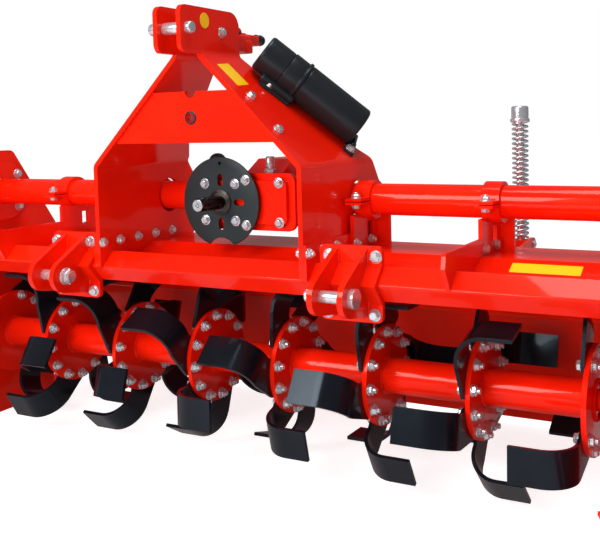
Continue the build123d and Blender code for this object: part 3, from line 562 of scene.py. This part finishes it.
disc = standing(96, guard["radius"], 0, guard["thick"], 0.8, 2, True)
cutters = [drill(64, guard["hole"], 0, 0), drill(64, guard["notch"], 0, -guard["notchBelow"]),
           drill(24, guard["eye"], 0, guard["eyeAbove"])]
slotFlat = guard["slotLong"] - guard["slotWide"]  # between the middles of a slot's round ends
for n in range(4):
    slot = [drill(24, guard["slotWide"] / 2, guard["ring"] + end * slotFlat / 2, 0)
            for end in (-1, 1)]
    slot.append(block((slotFlat, guard["slotWide"], guard["cutHigh"] - guard["cutLow"]),
                      (guard["ring"], 0, (guard["cutHigh"] + guard["cutLow"]) / 2), 0.05, 1))
    for cutter in slot:
        cutter.data.transform(Matrix.Rotation(n * math.pi / 2, 4, "Z"))
    cutters += slot
for cutter in cutters:
    cut = disc.modifiers.new("cut", "BOOLEAN")
    cut.operation = "DIFFERENCE"
    cut.object = cutter
    bpy.context.view_layer.objects.active = disc
    bpy.ops.object.modifier_apply(modifier="cut")
    bpy.data.objects.remove(cutter, do_unlink=True)
guardParts = [disc]
for n in range(4):
    angle = math.radians(45 + 90 * n)
    guardParts.append(shifted(standing(20, guard["post"], -guard["postLong"], 0.5, 0.3),
                              guard["postRing"] * math.cos(angle),
                              guard["postRing"] * math.sin(angle), 0))
guardPiece = joined(guardParts)
facingFront = Matrix(((1, 0, 0), (0, 0, -1), (0, 1, 0))).to_4x4()
guardPiece.data.transform(
    Matrix.Translation(place(0, guard["face"], gearbox["middle"])) @ facingFront)
dressed(guardPiece, "shaftGuard", "guard_grey")
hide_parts("guard_plate")
print("guard")

# Chain holder: a black rubber-covered knob behind the top of the guard.
knob = {"place": (-28, -120, 541), "radius": 25, "tall": 22}
knobPiece = standing(40, knob["radius"], 0, knob["tall"], 8, 4, True)
dressed(spread(knobPiece, [(knob["place"], back)]), "guardKnob", "black_plastic")
dropPattern(knobPiece)

# Coil springs on the rods, in place of the plain sleeves of the frame.
coil = {
    "rodHalf": 629, "mean": 19.8, "wire": 3.5, "wireSides": 8, "turns": 24, "turnSteps": 20,
    "capRadius": 23.5, "capLow": 638, "capHigh": 673.5, "collarRadius": 26.5, "collarLow": 628}
springLow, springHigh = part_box("springs")
springY = (springLow[1] + springHigh[1]) / 2
springTall = springHigh[2] - springLow[2]
coils = []
for side in (-1, 1):
    bpy.ops.mesh.primitive_circle_add(
        vertices=coil["wireSides"], radius=coil["wire"] * mm, rotation=(math.pi / 2, 0, 0),
        location=(coil["mean"] * mm, 0, 0))
    wire = bpy.context.object
    bpy.ops.object.transform_apply(location=True, rotation=True, scale=False)
    screw = wire.modifiers.new("screw", "SCREW")
    screw.axis = "Z"
    screw.iterations = coil["turns"]
    screw.screw_offset = (springTall - 2 * coil["wire"] * mm) / coil["turns"]
    screw.steps = screw.render_steps = coil["turnSteps"]
    screw.use_merge_vertices = False
    bpy.ops.object.modifier_apply(modifier="screw")
    bpy.ops.object.mode_set(mode="EDIT")
    bpy.ops.mesh.select_all(action="SELECT")
    bpy.ops.mesh.fill_holes(sides=coil["wireSides"])
    bpy.ops.mesh.select_all(action="SELECT")
    bpy.ops.mesh.normals_make_consistent(inside=False)
    bpy.ops.object.mode_set(mode="OBJECT")
    middle = Vector((rotorAxis.x + side * coil["rodHalf"] * mm, springY,
                     springLow[2] + coil["wire"] * mm))
    wire.data.transform(Matrix.Translation(middle))
    coils.append(wire)
springPiece = dressed(joined(coils), "coilSprings", "zinc", "spring_rods", 60)
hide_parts("springs")
capPiece = joined([
    standing(36, coil["capRadius"], coil["capLow"], coil["capHigh"], 6, 4),
    standing(36, coil["collarRadius"], coil["collarLow"], coil["capLow"] + 1, 2, 2, True),
])
rodY = (springY - rotorAxis.y) / mm
dressed(spread(capPiece, [((side * coil["rodHalf"], rodY, 0), up) for side in (-1, 1)]),
        "springCaps", "zinc", "spring_rods")
dropPattern(capPiece)
print("coil springs")

# Bearing on the right and gear case on the left: rings of bolts round both ends of the case, and
# two more down each of its long edges.
bearing = {"face": 998, "ring": 70}
dressed(spread(patterns["head", "small"], ringSpots(
    bearing["face"], 0, 0, bearing["ring"], 30, 6, right)), "bearingBolts", "zinc")
caseBolts = ringSpots(gearCase["face"], crossTube["back"], crossTube["high"],
                      gearCase["highRing"], 0, 8, left)[:5]
caseBolts += ringSpots(gearCase["face"], 0, 0, gearCase["lowRing"], 180, 8, left)[:5]
for share in gearCase["edgeShares"]:
    for side in (1, -1):
        drift = crossTube["back"] + side * (gearCase["highRing"] - gearCase["lowRing"])
        caseBolts.append(((gearCase["face"], side * gearCase["lowRing"] + share * drift,
                           share * crossTube["high"]), left))
dressed(spread(patterns["head", "small"], caseBolts), "caseBolts", "zinc")

# Swivel pins of the rod guides: a washer on each side.
swivel = {"washer": 13, "washerThick": 2.5, "pin": 7, "pinTop": 6, "half": 37}
guideLow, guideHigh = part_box("rod_guides")
guideY = (guideLow[1] + guideHigh[1]) / 2 - rotorAxis.y
guideZ = (guideLow[2] + guideHigh[2]) / 2 - rotorAxis.z
swivelWasher = joined([
    standing(24, swivel["washer"], 0, swivel["washerThick"], 0.6),
    standing(16, swivel["pin"], swivel["washerThick"], swivel["pinTop"], 1.4),
])
guideSpots = [
    ((side * coil["rodHalf"] + pin * swivel["half"], guideY / mm, guideZ / mm), (pin, 0, 0))
    for side in (-1, 1) for pin in (-1, 1)]
dressed(spread(swivelWasher, guideSpots), "swivelWashers", "zinc", "rod_guides")
dropPattern(swivelWasher)
print("bearing, case and swivels")

# Trailing board: shallow pressed ribs down its outer face, riding with the board.
board = {
    "hinge": (344, 100), "slope": 65, "sheet": 5, "from": 52, "to": 338, "wide": 34, "proud": 6,
    "sunk": 3, "ribs": (-850, -420, -140, 140, 420, 850)}
slope = math.radians(board["slope"])
downBoard = Vector((0, math.cos(slope), -math.sin(slope)))
outBoard = Vector((0, math.sin(slope), math.cos(slope)))
rib = block((board["wide"], board["to"] - board["from"], board["proud"] + board["sunk"]),
            (0, (board["from"] + board["to"]) / 2, (board["proud"] - board["sunk"]) / 2), 4.2, 3)
onBoard = Matrix((Vector(right), downBoard, outBoard)).transposed().to_4x4()
ribs = []
for x in board["ribs"]:
    copy = copied(rib)
    root = place(x, *board["hinge"]) + outBoard * board["sheet"] * mm
    copy.data.transform(Matrix.Translation(root) @ onBoard)
    ribs.append(copy)
dressed(joined(ribs), "boardRibs", "red_paint", "trailing_board", 50)
dropPattern(rib)
print("board ribs", len(ribs))

# Blank panels: an oval on the mast's head, one on its leaning plate, and a strip on the beam's
# bevel.
panelForm = {"thick": 0.9, "edge": 0.3, "cornerSteps": 8}
panelTable = (  # name, width, height, radius of corners, place, facing, turn in degrees
    ("headPanel", 35, 37, 17.4, (40, -241, 889), (1, 0, 0), 0),
    ("leanPanel", 51, 76, 2, (90.5, -200.5, 759.5), leanOut, 6.5),
    ("bevelPanel", 158, 35, 2, (820, -81, 305), (0, -0.4356, 0.9001), 0),
)
panels = []
for name, wide, tall, corner, spot, facing, turn in panelTable:
    bpy.ops.mesh.primitive_plane_add(size=1)
    panel = bpy.context.object
    panel.scale = (wide * mm, tall * mm, 1)
    bpy.ops.object.transform_apply(location=False, rotation=False, scale=True)
    bpy.ops.object.mode_set(mode="EDIT")
    bpy.ops.mesh.select_all(action="SELECT")
    bpy.ops.mesh.bevel(offset=corner * mm, segments=panelForm["cornerSteps"], affect="VERTICES")
    bpy.ops.mesh.select_all(action="SELECT")
    bpy.ops.mesh.extrude_region_move(
        TRANSFORM_OT_translate={"value": (0, 0, panelForm["thick"] * mm)})
    bpy.ops.mesh.bevel(offset=panelForm["edge"] * mm, segments=1, affect="EDGES")
    bpy.ops.mesh.select_all(action="SELECT")
    bpy.ops.mesh.normals_make_consistent(inside=False)
    bpy.ops.object.mode_set(mode="OBJECT")
    out = Vector(facing).normalized()
    across = Vector(back if abs(out.x) > 0.1 else right)
    setting = Matrix((across, out.cross(across), out)).transposed().to_4x4()
    turned = Matrix.Rotation(math.radians(turn), 4, "Z")
    panel.data.transform(Matrix.Translation(place(*spot)) @ setting @ turned)
    panel.data.materials.append(yellow)
    panel.name = name
    panel.data.name = name
    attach(panel, "root")
    panels.append(panel)
print("panels", len(panels))

# Document canister, moulded: a smooth cap with a collar and a ring on a wider body. It is held
# along the mast's leaning plate by two lugs and a bracket. "down", "behind", "off" and "forward"
# place it from the plate's upper end, and "tilt" turns its lower end backwards.
canister = {
    "down": 173, "behind": 2, "tilt": 27, "high": 810, "half": 40, "off": 53, "capEnd": 152,
    "forward": 20, "lugs": (-96, 164), "boltDown": 62, "boltOut": 7}
canisterTable = (  # radius, from, to, rounding and its steps
    (49, 0, 76, 8, 5),
    (50.8, 73, 120, 1.6, 3),
    (55.5, 116, 126, 3.5, 4),
    (52, 124, 313, 7, 5),
)
lugTable = (  # size, middle from the lug's place, rounding and its steps
    ((30, 84, 7), (0, -40, 3.5), 2.0, 2),
    ((30, 60, 16), (-6, 4, 10), 3.0, 2),
    ((6, 60, 22), (0, -20, 14), 1.5, 1),
)
bracketTable = (  # size, middle, rounding and its steps
    ((104, 96, 26), (-76, -22, 13), 9.0, 3),
    ((92, 112, 9), (-74, -24, 4.5), 3.0, 2),
    ((60, 50, 30), (128, 0, 15), 4.0, 2),
)
tilt = math.radians(canister["tilt"])
slopeDown = Vector((math.sqrt(0.5), 0, -math.sqrt(0.5)))
slopeOut = Vector(leanOut)
axis = slopeDown * math.cos(tilt) + Vector((0, math.sin(tilt), 0))
aside = slopeOut.cross(axis)
base = (place(canister["half"], canister["behind"], canister["high"])
        + slopeDown * canister["down"] * mm)
top = (base + slopeOut * canister["off"] * mm - axis * canister["capEnd"] * mm
       - Vector((0, canister["forward"], 0)) * mm)
canisterTube = joined([standing(72, *row, True) for row in canisterTable])
canisterTube.data.transform(
    Matrix.Translation(top) @ Matrix((slopeOut, -aside, axis)).transposed().to_4x4())
lugParts = []
for along in canister["lugs"]:
    for size, (x, y, z), edge, steps in lugTable:
        lugParts.append(block(size, (along + x, y, z), edge, steps))
lugParts += [block(*row) for row in bracketTable]
lugs = joined(lugParts)
lugs.data.transform(
    Matrix.Translation(base) @ Matrix((axis, aside, slopeOut)).transposed().to_4x4())
canisterPiece = dressed(joined([canisterTube, lugs]), "documentCanister", "black_plastic",
                        "root", 40)
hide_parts("canister")
lugBolts = []
for along in canister["lugs"]:
    spot = (base - rotorAxis) / mm + axis * along - aside * canister["boltDown"]
    lugBolts.append((tuple(spot + slopeOut * canister["boltOut"]), leanOut))
dressed(spread(patterns["head", "small"], lugBolts), "lugBolts", "zinc")
print("canister")

# Weld beads: a short rippled length, laid end to end along each seam.
bead = {"radius": 4.2, "sides": 7, "step": 4, "ripples": 6, "swell": 1.18}
bpy.ops.mesh.primitive_circle_add(
    vertices=bead["sides"], radius=bead["radius"] * mm, fill_type="NGON")
beadPiece = bpy.context.object
bpy.ops.object.mode_set(mode="EDIT")
bpy.ops.mesh.select_all(action="SELECT")
for n in range(2 * bead["ripples"]):
    bpy.ops.mesh.extrude_region_move(
        TRANSFORM_OT_translate={"value": (0, 0, bead["step"] / 2 * mm)})
    swell = bead["swell"] if n % 2 == 0 else 1 / bead["swell"]
    bpy.ops.transform.resize(value=(swell, swell, 1))
bpy.ops.mesh.select_all(action="SELECT")
bpy.ops.mesh.normals_make_consistent(inside=False)
bpy.ops.object.mode_set(mode="OBJECT")
beadLong = bead["step"] * bead["ripples"]


def straight(start, end):
    start, end = Vector(start), Vector(end)
    count = max(1, round((end - start).length / beadLong))
    way = (end - start).normalized()
    return [(tuple(start + (end - start) * n / count), tuple(way)) for n in range(count)]


def ringSeam(x, y, z, radius):
    count = max(6, round(2 * math.pi * radius / beadLong))
    spots = []
    for n in range(count):
        a = n * 2 * math.pi / count
        along = a + math.pi / count
        spots.append(((x, y + radius * math.cos(a), z + radius * math.sin(a)),
                      (0, -math.sin(along), math.cos(along))))
    return spots


seams = {
    "hitchHalf": 412.5, "lugInner": 30, "lugThick": 14, "lugFront": -229, "lugLow": 196,
    "lugHigh": 348, "tube": 40, "skid": 994, "skidFront": -130, "skidBack": 215, "skidLow": -267,
    "drum": 45.5}
frameSeams = []
for side in (-1, 1):
    for lug in (-1, 1):
        for face in (0, seams["lugThick"]):
            x = side * seams["hitchHalf"] + lug * (seams["lugInner"] + face)
            frameSeams += straight((x, seams["lugFront"], seams["lugLow"]),
                                   (x, seams["lugFront"], seams["lugHigh"]))
    frameSeams += ringSeam(side * crossTube["flangeFace"], crossTube["back"], crossTube["high"],
                           seams["tube"])
    frameSeams += straight((side * seams["skid"], seams["skidFront"], seams["skidLow"]),
                           (side * seams["skid"], seams["skidBack"], seams["skidLow"]))
rotorSeams = []
for i in range(rotorBolts["flanges"]):
    x = rotorBolts["firstFlange"] + i * rotorBolts["pitch"]
    for side in (-1, 1):
        rotorSeams += ringSeam(x + side * rotorBolts["halfFlange"], 0, 0, seams["drum"])
dressed(spread(beadPiece, frameSeams), "frameWelds", "red_paint", "root", 50)
dressed(spread(beadPiece, rotorSeams), "rotorWelds", "red_paint", "rotor", 50)
dropPattern(beadPiece)
for pattern in patterns.values():
    dropPattern(pattern)
print("welds", len(frameSeams) + len(rotorSeams))

# Floor, light and camera. The background is white wherever it is looked at, and the floor keeps the
# machine's shadow. Paint and metal mirror the background at less than its full strength, so that
# the red stays red.
studio = {
    "floorWhite": 0.58, "floorClouds": 0.02, "floorLift": 0.80, "ambient": 0.40,
    "mirrored": 0.20, "floorMirrored": 0.05}
floor = Finish("paleFloor")
lift = floor.node("ShaderNodeEmission", None, {
    "Strength": floor.seen(studio["floorMirrored"]) * studio["floorLift"]})["Emission"]
floorColour = floor.mix(floor.noise(3.0), (studio["floorWhite"],) * 3 + (1,),
                        (studio["floorWhite"] + studio["floorClouds"],) * 3 + (1,))
matt = floor.node("ShaderNodeBsdfDiffuse", None, {"Color": floorColour})["BSDF"]
both = floor.node("ShaderNodeAddShader", None, {0: lift, 1: matt})["Shader"]
floor.node("ShaderNodeOutputMaterial", None, {"Surface": both})
bpy.ops.mesh.primitive_plane_add(size=60, location=(0, 0, 0))
ground = bpy.context.object
ground.name = "studioFloor"
ground.data.materials.append(floor.material)

world = bpy.data.worlds.new("studio")
world.use_nodes = True
bpy.context.scene.world = world
sky = Graph(world.node_tree)
path = sky.node("ShaderNodeLightPath")
direct = path["Is Camera Ray"] + path["Is Transmission Ray"]
strength = (studio["ambient"] + direct * (1 - studio["ambient"])
            + path["Is Glossy Ray"] * (studio["mirrored"] - studio["ambient"]))
shown = sky.node("ShaderNodeBackground", None, {
    "Color": (1, 1, 1, 1), "Strength": strength})["Background"]
sky.node("ShaderNodeOutputWorld", None, {"Surface": shown})

lampTable = (  # name, place, aim, size, power, whether paint and metal mirror it
    ("keySoftbox", (-1.2, -3.8, 2.6), (0.0, 0.0, 0.5), 2.0, 130, True),
    ("topSoftbox", (0.6, -0.4, 3.8), (0.0, 0.0, 0.4), 1.6, 60, True),
    ("lowSoftbox", (0.6, -3.6, 0.9), (0.2, 0.0, 0.3), 1.6, 70, False),
)
for name, spot, aim, size, power, mirrored in lampTable:
    bpy.ops.object.light_add(type="AREA", location=spot)
    lamp = bpy.context.object
    lamp.name = name
    lamp.data.size = size
    lamp.data.energy = power
    lamp.visible_glossy = mirrored
    lamp.rotation_euler = (Vector(aim) - Vector(spot)).to_track_quat("-Z", "Y").to_euler()

cameraSetup = {
    "place": (1300.8, -1971.6, 635.7), "yaw": 26.722, "pitch": 3.710, "roll": 1.229,
    "lens": 52.34, "sensor": 36, "shiftX": -0.0882, "shiftY": -0.1445}
yaw, pitch, roll = (math.radians(cameraSetup[k]) for k in ("yaw", "pitch", "roll"))
ahead = Vector((-math.sin(yaw) * math.cos(pitch), math.cos(yaw) * math.cos(pitch),
                -math.sin(pitch)))
level = Vector((math.cos(yaw), math.sin(yaw), 0))
below = ahead.cross(level)
sideways = level * math.cos(roll) + below * math.sin(roll)
upwards = level * math.sin(roll) - below * math.cos(roll)
bpy.ops.object.camera_add()
camera = bpy.context.object
camera.matrix_world = (Matrix.Translation(place(*cameraSetup["place"]))
                       @ Matrix((sideways, upwards, -ahead)).transposed().to_4x4())
camera.data.lens = cameraSetup["lens"]
camera.data.sensor_width = cameraSetup["sensor"]
camera.data.shift_x = cameraSetup["shiftX"]
camera.data.shift_y = cameraSetup["shiftY"]
bpy.context.scene.camera = camera
bpy.context.scene.view_settings.view_transform = "Standard"
print("camera and lights")
